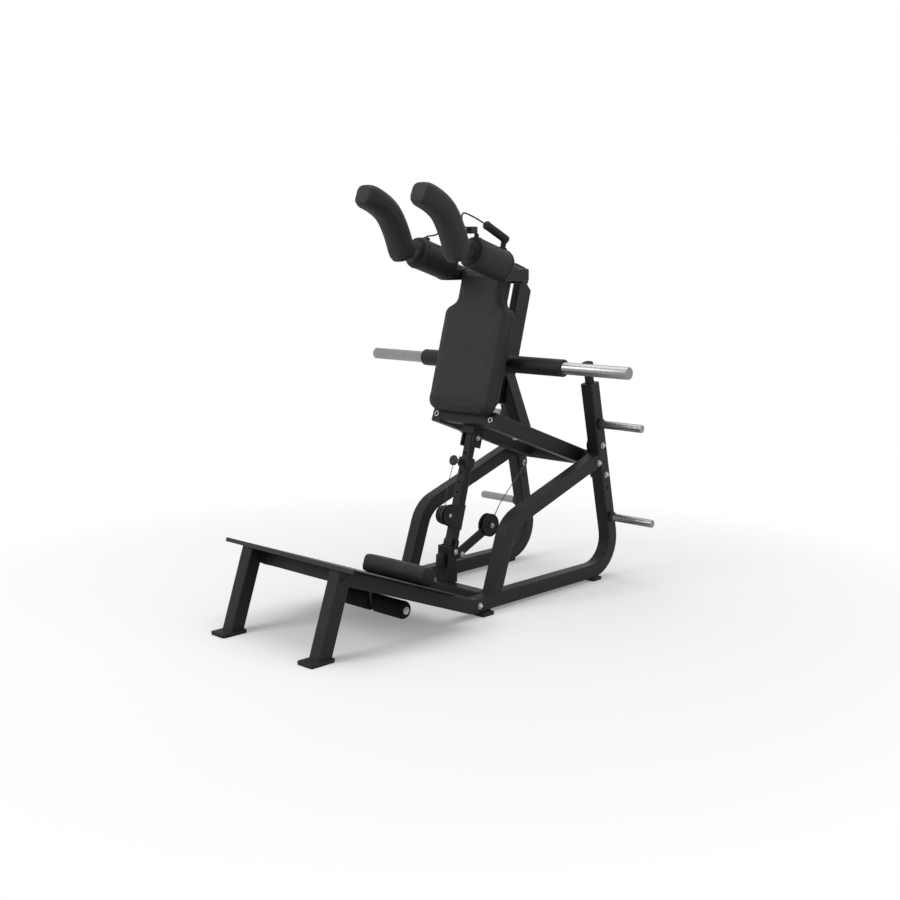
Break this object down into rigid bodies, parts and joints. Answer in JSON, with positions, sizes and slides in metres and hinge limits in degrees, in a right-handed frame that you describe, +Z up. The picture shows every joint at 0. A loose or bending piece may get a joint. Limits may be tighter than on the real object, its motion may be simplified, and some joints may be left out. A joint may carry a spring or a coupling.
{
  "type": "squat machine",
  "caption": "Free-standing lever squat machine: sloped foot plate, back and shoulder pads on a pivoting loaded arm, swing-away support post and storage pegs.",
  "frame": {"origin": "on the floor under the middle of the machine's bounding box", "axes": "+Z up, +Y towards the pivot end where the uprights stand, the user faces -Y, +X to the machine's right in the picture"},
  "size_m": [1.439, 1.8184, 1.7121],
  "materials": {
    "paint": "satin black powder coat",
    "vinyl": "matte black upholstery vinyl",
    "rubber": "matte black rubber",
    "foam": "matte black foam",
    "chrome": "brushed chrome",
    "plastic": "moulded black plastic",
    "cord": "dark coated steel cable"
  },
  "bodies": {
    "base": {"rear_frame_left": "paint", "rear_frame_right": "paint", "front_frame_left": "paint", "front_frame_right": "paint", "front_cross_tube": "paint", "platform_frame_left": "paint", "platform_frame_right": "paint", "platform_cross_tube": "paint", "foot_plate": "paint", "calf_block": "vinyl", "roller_arm": "paint", "pivot_bearing_left": "paint", "pivot_bearing_right": "paint", "post_bracket": "paint", "post_bumper": "rubber", "platform_foot_left": "rubber", "platform_foot_right": "rubber", "middle_foot_left": "rubber", "middle_foot_right": "rubber", "rear_foot_left": "rubber", "rear_foot_right": "rubber", "top_peg_left": "rubber", "top_peg_right": "rubber", "storage_peg_lower_left": "chrome", "storage_peg_lower_right": "chrome", "storage_peg_upper_left": "chrome", "storage_peg_upper_right": "chrome", "return_cord": "cord"},
    "lever": {"lever_rail_left": "paint", "lever_rail_right": "paint", "lever_pivot_tube": "paint", "lever_cross_member": "paint", "a_leg_left": "paint", "a_leg_right": "paint", "spine": "paint", "horn_tube": "paint", "horn_bar": "chrome", "back_pad": "vinyl", "pad_board": "paint", "shoulder_bar": "paint", "shoulder_roll_left": "vinyl", "shoulder_roll_right": "vinyl", "shoulder_pad_left": "vinyl", "shoulder_pad_right": "vinyl", "handle_left": "rubber", "handle_right": "rubber", "handle_cord_left": "cord", "handle_cord_right": "cord"},
    "post": {"post_tube": "paint", "pulley_plates": "paint", "rocker_fork": "paint", "rocker_bar": "paint", "release_cord": "cord"},
    "height_tube": {"inner_tube": "paint", "saddle": "paint"},
    "pin": {"pull_pin": "plastic"},
    "pulley_wheel": {"pulley": "plastic"},
    "rocker_wheel": {"cord_wheel": "rubber"},
    "roller_l": {"foam_roller_left": "foam"},
    "roller_r": {"foam_roller_right": "foam"}
  },
  "joints": [
    {"name": "lever_swing", "type": "hinge", "parent": "base", "child": "lever", "pos_m": [0, 0.8035, 0.539], "axis": [-1, 0, 0], "range_deg": [0, 20]},
    {"name": "post_swing", "type": "hinge", "parent": "base", "child": "post", "pos_m": [0, 0.103, 0.204], "axis": [-1, 0, 0], "range_deg": [0, 45], "deforming": ["return_cord"]},
    {"name": "height_slide", "type": "slide", "parent": "post", "child": "height_tube", "axis": [0, 0.2699, 0.9629], "range_m": [-0.0425, 0]},
    {"name": "pin_push", "type": "slide", "parent": "post", "child": "pin", "axis": [0, 0.9629, -0.2699], "range_m": [0, 0.012], "deforming": ["release_cord"]},
    {"name": "pulley_spin", "type": "hinge", "parent": "post", "child": "pulley_wheel", "pos_m": [0, 0.08099, 0.36076], "axis": [1, 0, 0], "continuous": true},
    {"name": "wheel_spin", "type": "hinge", "parent": "post", "child": "rocker_wheel", "pos_m": [0, 0.3465, 0.277], "axis": [1, 0, 0], "continuous": true},
    {"name": "roller_left_spin", "type": "hinge", "parent": "base", "child": "roller_l", "pos_m": [0, -0.3295, 0.069], "axis": [1, 0, 0], "continuous": true},
    {"name": "roller_right_spin", "type": "hinge", "parent": "base", "child": "roller_r", "pos_m": [0, -0.3295, 0.069], "axis": [1, 0, 0], "continuous": true}
  ]
}
